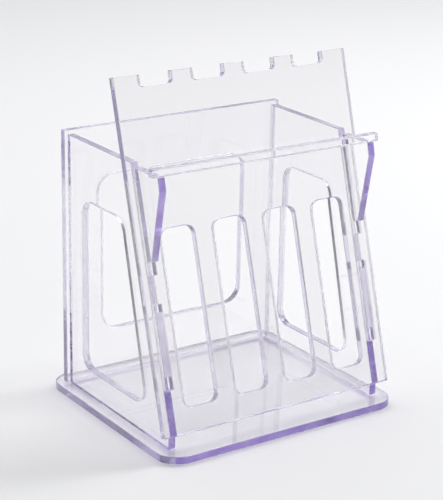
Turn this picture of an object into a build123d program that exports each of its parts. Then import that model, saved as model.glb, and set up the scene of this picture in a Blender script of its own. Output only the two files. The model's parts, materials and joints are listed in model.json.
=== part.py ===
"""Clear acrylic dice tower: an open-topped box of flat sheets on a base plate, with a
battlement front plate that hangs on two ears of the side panels. Millimetres, +Z up,
front towards -Y, origin at the centre of the footprint on the underside of the base."""

from build123d import *
import math
import os

# Driving dimensions
sheet = 5.0                  # every piece is cut from this cast acrylic sheet
box_width = 160.0            # over the outer faces of the side panels
side_height = 168.5          # side panels, above the base plate
back_height = 171.0          # back panel, above the base plate
back_overhang = 2.0          # back panel beyond each side panel
foot_depth = 120.5           # depth of the side panels along the base plate
foot_height = 9.4            # upright stretch of their front edge, under the front plate
lean = 16.2                  # front plate and front edges, degrees back from upright
clearance = 0.3              # between the loose front plate and the glued pieces

base_side_margin = 8.0       # base plate beyond the side panels
base_front_margin = 13.5     # base plate in front of the feet
base_back_margin = 11.0      # base plate behind the back panel
base_corner_radius = 15.0

# Front plate; "up the slope" counts along its front face from the level of the base plate
plate_width = 171.0
plate_length = 217.0
plate_start = 10.7           # lower edge, up the slope
slot_count = 4               # tall dice slots, with one battlement notch above each
slot_pitch = 37.5
slot_width = 24.0
slot_length = 109.0
slot_start = 15.0            # above the lower edge of the front plate
slot_radius = 6.0
notch_width = 22.5
notch_depth = 7.5
notch_radius = 2.5
lift = 8.0                   # travel of the front plate up its slope, to come off the hooks

# Ears and locating tabs of the side panels, up the slope
hook_seat = 165.6            # bottom of the kerf that carries the front plate
neck_bottom = 116.9          # underside of the ear
tab_bottom = 47.2
tab_top = 86.4
tab_slot_top = 91.2          # top of the locating slot in the front plate
ear_top = 166.9              # above the base plate
ear_kink = (108.1, 158.7)    # forward of the back panel, above the base plate
ear_front = 106.2            # front top corner, forward of the back panel
ear_reach = 4.0              # lower front corner, in front of the plate

# Windows: margins to the edges of the panels
side_window_back = 17.0
side_window_front = (24.0, 20.3)     # along the foot and along the top of the window
side_window_bottom = 18.0
side_window_top = 38.0
side_window_radius = 10.0
back_window_side = 27.5
back_window_bottom = 31.5
back_window_top = 33.0
back_window_radius = 12.0

rail_overhang = 3.4          # crossbar beyond the outer face of each ear

# Places that follow from them
base_width = box_width + 2 * base_side_margin
base_depth = base_front_margin + foot_depth + sheet + base_back_margin
back_face = base_depth / 2 - base_back_margin - sheet      # Y of the back panel's front face
floor = sheet                                              # Z of the top of the base plate
lean_sin = math.sin(math.radians(lean))
lean_cos = math.cos(math.radians(lean))
behind_plate = sheet + clearance                           # from the plate's front face
plate_foot = foot_depth + (foot_height * lean_sin + behind_plate) / lean_cos

side_plane = Plane(origin=(0, back_face, floor), x_dir=(0, -1, 0), z_dir=(-1, 0, 0))
slope_plane = Plane(
    origin=(0, back_face - plate_foot, floor),
    x_dir=(1, 0, 0),
    z_dir=(0, -lean_cos, lean_sin),
)


def on_slope(up, front=0.0):
    """Side-panel point by its distance up the slope and in front of the plate's face."""
    return (plate_foot - up * lean_sin + front * lean_cos, up * lean_cos + front * lean_sin)


def at_height(height, front=0.0):
    """Side-panel point by its height above the base and in front of the plate's face."""
    return on_slope((height - front * lean_sin) / lean_cos, front)


def side_outline():
    """Foot, locating tab, ear with its upward hook, sloping shoulder and upright back."""
    return [
        (0, 0),
        (foot_depth, 0),
        (foot_depth, foot_height),
        on_slope(tab_bottom, -behind_plate),
        on_slope(tab_bottom),
        on_slope(tab_top),
        on_slope(tab_top, -behind_plate),
        on_slope(neck_bottom, -behind_plate),
        on_slope(neck_bottom, ear_reach),
        ear_kink,
        (ear_front, ear_top),
        at_height(ear_top, clearance),
        on_slope(hook_seat, clearance),
        on_slope(hook_seat, -behind_plate),
        at_height(side_height, -behind_plate),
        (0, side_height),
    ]


def side_window():
    """Window with an upright back edge and a front edge that leans like the plate."""
    top = side_height - side_window_top
    foot_edge = at_height(side_window_bottom, -behind_plate)[0] - side_window_front[0]
    top_edge = at_height(top, -behind_plate)[0] - side_window_front[1]
    return [
        (side_window_back, side_window_bottom),
        (foot_edge, side_window_bottom),
        (top_edge, top),
        (side_window_back, top),
    ]


os.makedirs("parts", exist_ok=True)

# Base plate: one sheet with generous rounded corners
with BuildPart() as base_plate:
    with BuildSketch(Plane.XY):
        RectangleRounded(base_width, base_depth, base_corner_radius)
    extrude(amount=sheet)
base_plate.part.label = "base_plate"
export_step(base_plate.part, "parts/base_plate.step")

# Back panel: stands on the base behind the side panels, with one large window
back_width = box_width + 2 * back_overhang
back_window_height = back_height - back_window_bottom - back_window_top
back_plane = Plane(origin=(0, back_face, floor), x_dir=(1, 0, 0), z_dir=(0, -1, 0))
with BuildPart() as back_panel:
    with BuildSketch(back_plane):
        Rectangle(back_width, back_height, align=(Align.CENTER, Align.MIN))
        with Locations((0, back_window_bottom + back_window_height / 2)):
            RectangleRounded(
                back_width - 2 * back_window_side,
                back_window_height,
                back_window_radius,
                mode=Mode.SUBTRACT,
            )
    extrude(amount=-sheet)
back_panel.part.label = "back_panel"
export_step(back_panel.part, "parts/back_panel.step")

# Side panels: a mirrored pair with window, locating tab and hooked ear
with BuildSketch(Plane.XY) as window:
    with BuildLine():
        Polyline(*side_window(), close=True)
    make_face()
    fillet(window.vertices(), side_window_radius)
with BuildPart() as left_side_panel:
    with BuildSketch(side_plane.offset(box_width / 2 - sheet)):
        with BuildLine():
            Polyline(*side_outline(), close=True)
        make_face()
        add(window.sketch, mode=Mode.SUBTRACT)
    extrude(amount=sheet)
left_side_panel.part.label = "left_side_panel"
export_step(left_side_panel.part, "parts/left_side_panel.step")

with BuildPart() as right_side_panel:
    mirror(left_side_panel.part, about=Plane.YZ)
right_side_panel.part.label = "right_side_panel"
export_step(right_side_panel.part, "parts/right_side_panel.step")

# Front plate: battlements, dice slots, and narrow slots for the ears and locating tabs
ear_slots = [
    (neck_bottom - lift - clearance, hook_seat + clearance),
    (tab_bottom - lift - clearance, tab_slot_top),
]
with BuildPart() as front_plate:
    with BuildSketch(slope_plane):
        with Locations((0, plate_start)):
            Rectangle(plate_width, plate_length, align=(Align.CENTER, Align.MIN))
        with Locations((0, plate_start + slot_start + slot_length / 2)):
            with GridLocations(slot_pitch, 0, slot_count, 1):
                RectangleRounded(slot_width, slot_length, slot_radius, mode=Mode.SUBTRACT)
        with Locations((0, plate_start + plate_length)):
            with GridLocations(slot_pitch, 0, slot_count, 1):
                RectangleRounded(notch_width, 2 * notch_depth, notch_radius, mode=Mode.SUBTRACT)
        for bottom, top in ear_slots:
            with Locations((0, (bottom + top) / 2)):
                with GridLocations(box_width - sheet, 0, 2, 1):
                    Rectangle(sheet + 2 * clearance, top - bottom, mode=Mode.SUBTRACT)
    extrude(amount=-sheet)
front_plate.part.label = "front_plate"
export_step(front_plate.part, "parts/front_plate.step")

# Crossbar: square strip glued along the front tops of the two ears
with BuildPart() as crossbar:
    with BuildSketch(side_plane.offset(-box_width / 2 - rail_overhang)):
        with Locations((ear_front, ear_top)):
            Rectangle(sheet, sheet, align=(Align.MAX, Align.MIN))
    extrude(amount=box_width + 2 * rail_overhang)
crossbar.part.label = "crossbar"
export_step(crossbar.part, "parts/crossbar.step")
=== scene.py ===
import bmesh
import bpy
import json
import math
from mathutils import Matrix, Vector


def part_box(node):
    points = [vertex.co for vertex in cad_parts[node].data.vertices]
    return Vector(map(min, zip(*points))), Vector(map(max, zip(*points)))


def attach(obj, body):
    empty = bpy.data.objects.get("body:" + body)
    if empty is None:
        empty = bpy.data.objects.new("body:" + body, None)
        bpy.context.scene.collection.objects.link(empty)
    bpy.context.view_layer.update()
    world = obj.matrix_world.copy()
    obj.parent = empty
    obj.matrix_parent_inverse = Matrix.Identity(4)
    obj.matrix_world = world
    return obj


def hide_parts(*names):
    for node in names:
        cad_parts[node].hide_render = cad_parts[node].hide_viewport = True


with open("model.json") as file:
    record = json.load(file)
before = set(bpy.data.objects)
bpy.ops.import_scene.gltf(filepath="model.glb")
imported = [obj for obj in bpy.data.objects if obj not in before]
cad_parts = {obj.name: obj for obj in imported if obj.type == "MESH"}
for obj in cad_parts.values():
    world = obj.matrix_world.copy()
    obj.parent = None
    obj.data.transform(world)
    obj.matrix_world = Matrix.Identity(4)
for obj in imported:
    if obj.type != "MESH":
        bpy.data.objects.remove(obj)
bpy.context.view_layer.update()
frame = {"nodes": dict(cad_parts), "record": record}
mm = 0.001


# ---------------------------------------------------------------- Base plate
# A rounded rectangle of clear cast acrylic (PMMA), cut like every other piece from one
# 5 mm sheet. The cast faces are flat and glossy; the sawn edges are slightly rippled, hazy
# and mottled. The outer front edges carry a painted deep violet shade, placed by rule, for
# the light lost looking down a sheet's depth.

def linear(hex_colour):
    """Linear RGBA from an sRGB hex colour."""
    channels = [int(hex_colour[i:i + 2], 16) / 255 for i in (1, 3, 5)]
    return tuple(
        c / 12.92 if c <= 0.04045 else ((c + 0.055) / 1.055) ** 2.4 for c in channels
    ) + (1.0,)


def add_node(tree, kind, settings=None, links=None):
    """One node of a tree, with its properties or input values set and its inputs linked."""
    node = tree.nodes.new(kind)
    for key, value in (settings or {}).items():
        if hasattr(node, str(key)):
            setattr(node, key, value)
        else:
            node.inputs[key].default_value = value
    for key, socket in (links or {}).items():
        tree.links.new(socket, node.inputs[key])
    return node


edge_ripple = 2.5 * mm                 # length of the slow ripple left by polishing an edge
ripple_height = 0.05 * mm
edge_mottle = 9.0 * mm                 # length of the light and dark patches along an edge
mottle_range = (0.38, 0.66)            # noise levels of the darkest and the palest patches
edge_haze = 0.18                       # share of the light that a sawn edge scatters
edge_roughness = 0.2
tinted_path = 290 * mm                 # length inside the sheet that gives the tint below
path_tint = linear("#b5a3dc")
density_margin = 1.25                  # keeps every channel of the absorption colour above zero

clear_acrylic = bpy.data.materials.new("clear_cast_acrylic")
clear_acrylic.use_nodes = True
sheet_tree = clear_acrylic.node_tree
sheet_tree.nodes.clear()
place = add_node(sheet_tree, "ShaderNodeTexCoord")
sawn = add_node(sheet_tree, "ShaderNodeAttribute", {"attribute_name": "sawn"})
painted_shade = add_node(sheet_tree, "ShaderNodeAttribute", {"attribute_name": "painted_shade"})
fused = add_node(sheet_tree, "ShaderNodeAttribute", {"attribute_name": "fused"})
mottle = add_node(sheet_tree, "ShaderNodeTexNoise", {
    "Scale": 1 / edge_mottle, "Detail": 2.0, "Roughness": 0.6,
}, {"Vector": place.outputs["Object"]})
edge_colour = add_node(sheet_tree, "ShaderNodeValToRGB", None, {"Fac": mottle.outputs[0]})
# Painted shade: a deep violet ramp for the outer front edges, standing in for the darkness seen down a
# sheet's depth
painted_shade_colour = add_node(sheet_tree, "ShaderNodeValToRGB", None, {"Fac": mottle.outputs[0]})
for patches, colours in ((edge_colour, ("#f1edfa", "#ffffff")), (painted_shade_colour, ("#8a74c4", "#b5a4de"))):
    for element, position, colour in zip(patches.color_ramp.elements, mottle_range, colours):
        element.position = position
        element.color = linear(colour)
# Sawn edges take the mottled pale tint, and the painted violet shade where the painted shade mask is
# set
edge_tint_and_painted_shade = add_node(sheet_tree, "ShaderNodeMix", {
    "data_type": "RGBA",
}, {0: painted_shade.outputs["Fac"], 6: edge_colour.outputs["Color"], 7: painted_shade_colour.outputs["Color"]})
surface_colour = add_node(sheet_tree, "ShaderNodeMix", {
    "data_type": "RGBA", 6: linear("#ffffff"),
}, {0: sawn.outputs["Fac"], 7: edge_tint_and_painted_shade.outputs[2]})
ripple = add_node(sheet_tree, "ShaderNodeTexNoise", {
    "Scale": 1 / edge_ripple, "Detail": 1.0,
}, {"Vector": place.outputs["Object"]})
ripple_depth = add_node(sheet_tree, "ShaderNodeMath", {
    "operation": "MULTIPLY",
}, {0: ripple.outputs[0], 1: sawn.outputs["Fac"]})
uneven = add_node(sheet_tree, "ShaderNodeBump", {
    "Strength": 0.5, "Distance": ripple_height,
}, {"Height": ripple_depth.outputs[0]})
hazed = add_node(sheet_tree, "ShaderNodeMath", {
    "operation": "MULTIPLY_ADD", 1: -edge_haze, 2: 1.0,
}, {0: sawn.outputs["Fac"]})
clear_through = add_node(sheet_tree, "ShaderNodeMath", {
    "operation": "MULTIPLY_ADD", 1: edge_haze,
}, {0: painted_shade.outputs["Fac"], 2: hazed.outputs[0]})
open_surface = add_node(sheet_tree, "ShaderNodeMath", {
    "operation": "SUBTRACT", 0: 1.0,
}, {1: fused.outputs["Fac"]})
frosting = add_node(sheet_tree, "ShaderNodeMath", {
    "operation": "MULTIPLY", 1: edge_roughness,
}, {0: sawn.outputs["Fac"]})
gloss = add_node(sheet_tree, "ShaderNodeBsdfPrincipled", {
    "IOR": 1.49,
}, {
    "Transmission Weight": clear_through.outputs[0],
    "Base Color": surface_colour.outputs[2],
    "Normal": uneven.outputs["Normal"],
    "Alpha": open_surface.outputs[0],
    "Roughness": frosting.outputs[0],
})
loss = [-math.log(c) / tinted_path for c in path_tint[:3]]
strongest = max(loss) * density_margin
violet_cast = add_node(sheet_tree, "ShaderNodeVolumeAbsorption", {
    "Color": tuple(1 - each / strongest for each in loss) + (1.0,),
    "Density": strongest,
})
add_node(sheet_tree, "ShaderNodeOutputMaterial", None, {
    "Surface": gloss.outputs["BSDF"],
    "Volume": violet_cast.outputs["Volume"],
})

arris = 0.3 * mm                       # sharp edges broken with a scraper
cement_film = 0.01 * mm                # taken off all round, so that no two faces coincide
weld_reach = 0.05 * mm                 # how far a fused face may lie from the shared plane
merge_distance = 0.001 * mm
rounding = 0.001 * mm                  # slack for the rounding of coordinates
cut_distance = 1e-7                    # metres, within which a cut keeps to a vertex
square_on = 0.99                       # cosine between a face and the weld's direction
cast_limit = 0.9                       # cosine past which a face is a cast face
front_limit = -0.8                     # Y of the normal of an edge that faces the front
painted_shade_front = -20 * mm                  # painted deep violet shade on front edges in front of this Y, and below the first or above the second height
painted_shade_heights = (42 * mm, 110 * mm)     # and below the first or above the second height


def mark_weld(shape, fused_layer, node, neighbour, outward):
    """Marks the patch of a piece that solvent cement has fused to its neighbour."""
    boxes = [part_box(node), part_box(neighbour)]
    low = [max(box[0][i] for box in boxes) for i in range(3)]
    high = [min(box[1][i] for box in boxes) for i in range(3)]
    outward = Vector(outward)
    for i in range(3):
        if abs(outward[i]) > 0.5:
            low[i] -= weld_reach
            high[i] += weld_reach
            continue
        low[i] += arris
        high[i] -= arris
        for level in (low[i], high[i]):
            facing = [f for f in shape.faces if f.normal.dot(outward) > square_on]
            near = set(facing)
            for face in facing:
                near.update(face.edges)
                near.update(face.verts)
            point, normal = Vector(), Vector()
            point[i], normal[i] = level, 1
            bmesh.ops.bisect_plane(
                shape, geom=list(near), dist=cut_distance, plane_co=point, plane_no=normal
            )
    for face in shape.faces:
        middle = face.calc_center_median()
        inside = all(low[i] - rounding < middle[i] < high[i] + rounding for i in range(3))
        if inside and face.normal.dot(outward) > square_on:
            face[fused_layer] = 1.0


def put_in_order(shape):
    """Sorts the corners, edges and faces by place, because cuts leave them in any order."""
    for elements in (shape.verts, shape.edges, shape.faces):
        place_of = {e: sum((v.co for v in getattr(e, "verts", [e])), Vector()) for e in elements}
        by_place = sorted(elements, key=lambda e: tuple(round(c / rounding) for c in place_of[e]))
        for rank, element in enumerate(by_place):
            element.index = rank
        elements.sort()


def cut_sheet(node, name, body, cast_face, welds=()):
    """A piece of the sheet with the outline of a CAD node and its sharp edges broken."""
    shape = bmesh.new()
    shape.from_mesh(frame["nodes"][node].data)
    bmesh.ops.remove_doubles(shape, verts=shape.verts, dist=merge_distance)
    bmesh.ops.dissolve_limit(
        shape, angle_limit=math.radians(0.5), verts=shape.verts, edges=shape.edges
    )
    corners = [e for e in shape.edges if e.calc_face_angle(0) > math.radians(30)]
    bmesh.ops.bevel(
        shape, geom=corners, offset=arris, offset_type="OFFSET", segments=1,
        profile=0.5, affect="EDGES", clamp_overlap=True,
    )
    shape.normal_update()
    sawn_layer = shape.faces.layers.float.new("sawn")
    for face in shape.faces:
        face[sawn_layer] = float(abs(face.normal.dot(Vector(cast_face))) < cast_limit)
    # Painted shade mask: front-facing outer edges, chosen by place, take the deep violet tint
    painted_shade_layer = shape.faces.layers.float.new("painted_shade")
    for face in shape.faces:
        middle = face.calc_center_median()
        outer = middle.y < painted_shade_front and not painted_shade_heights[0] < middle.z < painted_shade_heights[1]
        face[painted_shade_layer] = float(outer and face.normal.y < front_limit)
    fused_layer = shape.faces.layers.float.new("fused")
    for neighbour, outward in welds:
        mark_weld(shape, fused_layer, node, neighbour, outward)
    shape.normal_update()
    inset = [(v, v.co - v.normal * v.calc_shell_factor() * cement_film) for v in shape.verts]
    for vertex, spot in inset:
        vertex.co = spot
    for face in shape.faces:
        face.smooth = True
    for edge in shape.edges:
        edge.smooth = edge.calc_face_angle(0) < math.radians(20)
    put_in_order(shape)
    mesh = bpy.data.meshes.new(name)
    shape.to_mesh(mesh)
    shape.free()
    mesh.materials.append(clear_acrylic)
    piece = bpy.data.objects.new(name, mesh)
    bpy.context.scene.collection.objects.link(piece)
    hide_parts(node)
    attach(piece, body)


cut_sheet("base_plate", "base_sheet", "box", (0, 0, 1), [
    ("left_side_panel", (0, 0, 1)),
    ("right_side_panel", (0, 0, 1)),
    ("back_panel", (0, 0, 1)),
])


# ---------------------------------------------------------------- Back panel
# A tall acrylic sheet with one large window, cemented on edge to the base plate and across
# the back edges of the two side panels.

cut_sheet("back_panel", "back_sheet", "box", (0, 1, 0), [
    ("base_plate", (0, 0, -1)),
    ("left_side_panel", (0, -1, 0)),
    ("right_side_panel", (0, -1, 0)),
])


# ---------------------------------------------------------------- Side panels
# A mirrored pair of acrylic sheets on edge, each with a leaning window, a locating tab and a
# hooked ear. They are cemented to the base plate, the back panel and the crossbar.

for side in ("left", "right"):
    cut_sheet(side + "_side_panel", side + "_side_sheet", "box", (1, 0, 0), [
        ("base_plate", (0, 0, -1)),
        ("back_panel", (0, 1, 0)),
        ("crossbar", (0, 0, 1)),
    ])


# ---------------------------------------------------------------- Crossbar
# A square strip sawn from the same acrylic sheet, cemented flat on the tops of the two ears.

cut_sheet("crossbar", "crossbar_strip", "box", (0, 1, 0), [
    ("left_side_panel", (0, 0, -1)),
    ("right_side_panel", (0, 0, -1)),
])


# ---------------------------------------------------------------- Front plate
# The leaning acrylic plate with battlements along its top and four tall slots. It is loose:
# its ear slots hang on the hooked ears, and it lifts off up its own slope.

lift_axis = Vector(frame["record"]["behaviour"]["joints"][0]["axis"])
cut_sheet("front_plate", "battlement_sheet", "front", (0, -lift_axis.z, lift_axis.y))


# ---------------------------------------------------------------- Studio floor and light
# A matte white card table that runs out of sight, under a large overhead soft box, with a
# smaller soft box on the right that throws the pale shadows. The room is dim in front of the
# tower and pale behind it, so the base plate reflects light and the front plate doesn't.

floor_radius = 6.0
floor_gap = 0.2 * mm                   # the base plate rests on dust and its own flatness
room_turn = (-0.2, 0.5)                # Y of a direction where the room starts and ends to brighten
room_glow = (0.14, 0.92)               # strength in front of the tower and behind it

card = bpy.data.materials.new("white_card")
card.use_nodes = True
card_tree = card.node_tree
card_tree.nodes.clear()
card_surface = add_node(card_tree, "ShaderNodeBsdfPrincipled", {
    "Base Color": linear("#f2f2f3"),
    "Roughness": 0.9,
    "Specular IOR Level": 0.0,
})
add_node(card_tree, "ShaderNodeOutputMaterial", None, {"Surface": card_surface.outputs["BSDF"]})

disc = bmesh.new()
bmesh.ops.create_circle(disc, cap_ends=True, radius=floor_radius, segments=96)
floor_mesh = bpy.data.meshes.new("studio_floor")
disc.to_mesh(floor_mesh)
disc.free()
floor_mesh.transform(Matrix.Translation((0, 0, -floor_gap)))
floor_mesh.materials.append(card)
floor = bpy.data.objects.new("studio_floor", floor_mesh)
bpy.context.scene.collection.objects.link(floor)

room = bpy.data.worlds.new("dim_room")
bpy.context.scene.world = room
room.use_nodes = True
room.node_tree.nodes.clear()
direction = add_node(room.node_tree, "ShaderNodeTexCoord")
compass = add_node(room.node_tree, "ShaderNodeSeparateXYZ", None, {
    "Vector": direction.outputs["Generated"],
})
backdrop = add_node(room.node_tree, "ShaderNodeMapRange", {
    "interpolation_type": "SMOOTHSTEP",
    "From Min": room_turn[0], "From Max": room_turn[1],
    "To Min": room_glow[0], "To Max": room_glow[1],
}, {"Value": compass.outputs["Y"]})
room_light = add_node(room.node_tree, "ShaderNodeBackground", {
    "Color": linear("#f4f5f7"),
}, {"Strength": backdrop.outputs[0]})
add_node(room.node_tree, "ShaderNodeOutputWorld", None, {"Surface": room_light.outputs[0]})


def soft_box(name, spot, aim, width, power):
    """A square soft box that faces a point."""
    lamp = bpy.data.lights.new(name, "AREA")
    lamp.shape = "SQUARE"
    lamp.size = width
    lamp.energy = power
    holder = bpy.data.objects.new(name, lamp)
    bpy.context.scene.collection.objects.link(holder)
    holder.location = spot
    holder.rotation_euler = (Vector(aim) - Vector(spot)).to_track_quat("-Z", "Y").to_euler()


soft_box("overhead_box", (0.2, 0.5, 2.0), (0.2, 0.5, 0), 2.2, 22.0)
soft_box("window_box", (1.5, -0.1, 1.4), (0, 0, 0.05), 0.55, 14.0)


# ---------------------------------------------------------------- Camera
# A long lens from the front left, a little above the tower.

view_azimuth = math.radians(-34.458)
view_elevation = math.radians(18.817)
view_roll = math.radians(1.129)
view_distance = 1030.4 * mm
view_aim = Vector((-21.8, -29.0, 112.6)) * mm
towards = Vector((
    math.sin(view_azimuth) * math.cos(view_elevation),
    -math.cos(view_azimuth) * math.cos(view_elevation),
    math.sin(view_elevation),
))
level = (-towards).cross(Vector((0, 0, 1))).normalized()
tilted = level.cross(-towards)
rightward = level * math.cos(view_roll) + tilted * math.sin(view_roll)
upward = tilted * math.cos(view_roll) - level * math.sin(view_roll)
spot = view_aim + towards * view_distance
lens = bpy.data.cameras.new("camera")
lens.lens = 120.6
camera = bpy.data.objects.new("camera", lens)
bpy.context.scene.collection.objects.link(camera)
camera.matrix_world = Matrix((
    (rightward.x, upward.x, towards.x, spot.x),
    (rightward.y, upward.y, towards.y, spot.y),
    (rightward.z, upward.z, towards.z, spot.z),
    (0, 0, 0, 1),
))
bpy.context.scene.camera = camera
bpy.context.scene.view_settings.view_transform = "Standard"

# The faces of a sheet turn light back dozens of times on its way from edge to edge
turns = 48
paths = bpy.context.scene.cycles
paths.max_bounces = turns
paths.glossy_bounces = turns
paths.transmission_bounces = turns
paths.blur_glossy = 0.0
